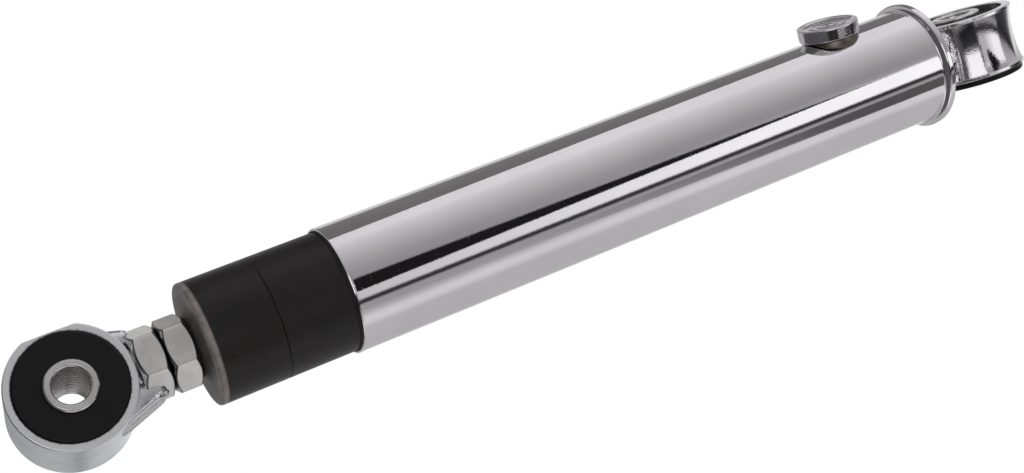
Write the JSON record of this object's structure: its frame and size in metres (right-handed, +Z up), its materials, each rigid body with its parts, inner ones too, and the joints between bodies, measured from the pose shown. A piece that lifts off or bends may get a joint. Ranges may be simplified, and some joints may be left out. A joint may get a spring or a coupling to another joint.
{
  "type": "motorcycle shock absorber",
  "caption": "Chromed closed-tube rear shock absorber with rubber-bushed eyes, black guide sleeves, lock nut and side plug; it compresses, swivels and twists in its bushes.",
  "frame": {"origin": "centre of the upper eye's bore", "axes": "+Z up the shock's axis from the lower eye to the upper eye, +X along the upper eye's bore, away from the side plug"},
  "size_m": [0.047, 0.0421, 0.346],
  "materials": {
    "chrome_plate": "polished chromium plate",
    "zinc_plate": "clear passivated zinc plate on forged steel",
    "zinc_nut": "zinc plated nut, satin",
    "turned_steel": "turned and zinc plated",
    "bush_rubber": "moulded, semi-matte",
    "seal_rubber": "moulded nitrile",
    "black_sleeve": "turned black nylon, matte",
    "bump_foam": "moulded rubber",
    "copper": "annealed copper",
    "machined_steel": "machined, oiled",
    "damper_tube": "black phosphated steel",
    "spring_steel": "black painted spring steel",
    "rod_chrome": "ground hard chrome",
    "bronze": "sintered bronze, oiled",
    "ring_plastic": "filled PTFE"
  },
  "bodies": {
    "upper_sleeve": {"upper_bush_sleeve": "turned_steel"},
    "cover": {"upper_eye": "chrome_plate", "upper_bush_rubber": "bush_rubber", "end_cap": "chrome_plate", "cover_tube": "chrome_plate", "wiper_ring": "seal_rubber", "filler_plug": "chrome_plate", "plug_washer": "copper", "filler_boss": "machined_steel", "damper_cylinder": "damper_tube", "spring_perch": "machined_steel", "main_spring": "spring_steel", "rod_guide": "bronze", "guide_o_ring": "seal_rubber", "oil_seal": "seal_rubber", "retaining_ring": "machined_steel"},
    "guide": {"spring_seat": "machined_steel", "upper_guide_sleeve": "black_sleeve", "lower_guide_sleeve": "black_sleeve"},
    "rod": {"piston_rod": "rod_chrome", "rebound_bumper": "seal_rubber", "piston_washer": "machined_steel", "piston": "machined_steel", "piston_ring": "ring_plastic", "valve_shims": "machined_steel", "piston_nut": "zinc_nut", "bump_stop": "bump_foam", "lock_nut": "zinc_nut", "weld_nut": "zinc_nut", "lower_eye": "zinc_plate", "lower_bush_rubber": "bush_rubber"},
    "lower_sleeve": {"lower_bush_sleeve": "turned_steel"}
  },
  "joints": [
    {"name": "upper_bush_twist", "type": "hinge", "parent": "upper_sleeve", "child": "cover", "pos_m": [0, 0, 0], "axis": [1, 0, 0], "range_deg": [-15, 15], "stiffness_Nm_per_rad": 8},
    {"name": "compression", "type": "slide", "parent": "cover", "child": "guide", "axis": [0, 0, 1], "range_m": [0, 0.04], "stiffness_N_per_m": 13000, "springref_m": -0.012, "deforming": ["main_spring"]},
    {"name": "rod_swivel", "type": "hinge", "parent": "guide", "child": "rod", "pos_m": [0, 0, -0.25], "axis": [0, 0, 1], "continuous": true},
    {"name": "lower_bush_twist", "type": "hinge", "parent": "rod", "child": "lower_sleeve", "pos_m": [0, 0, -0.3103], "axis": [-0.4195, -0.9078, 0], "range_deg": [-15, 15], "stiffness_Nm_per_rad": 8}
  ]
}
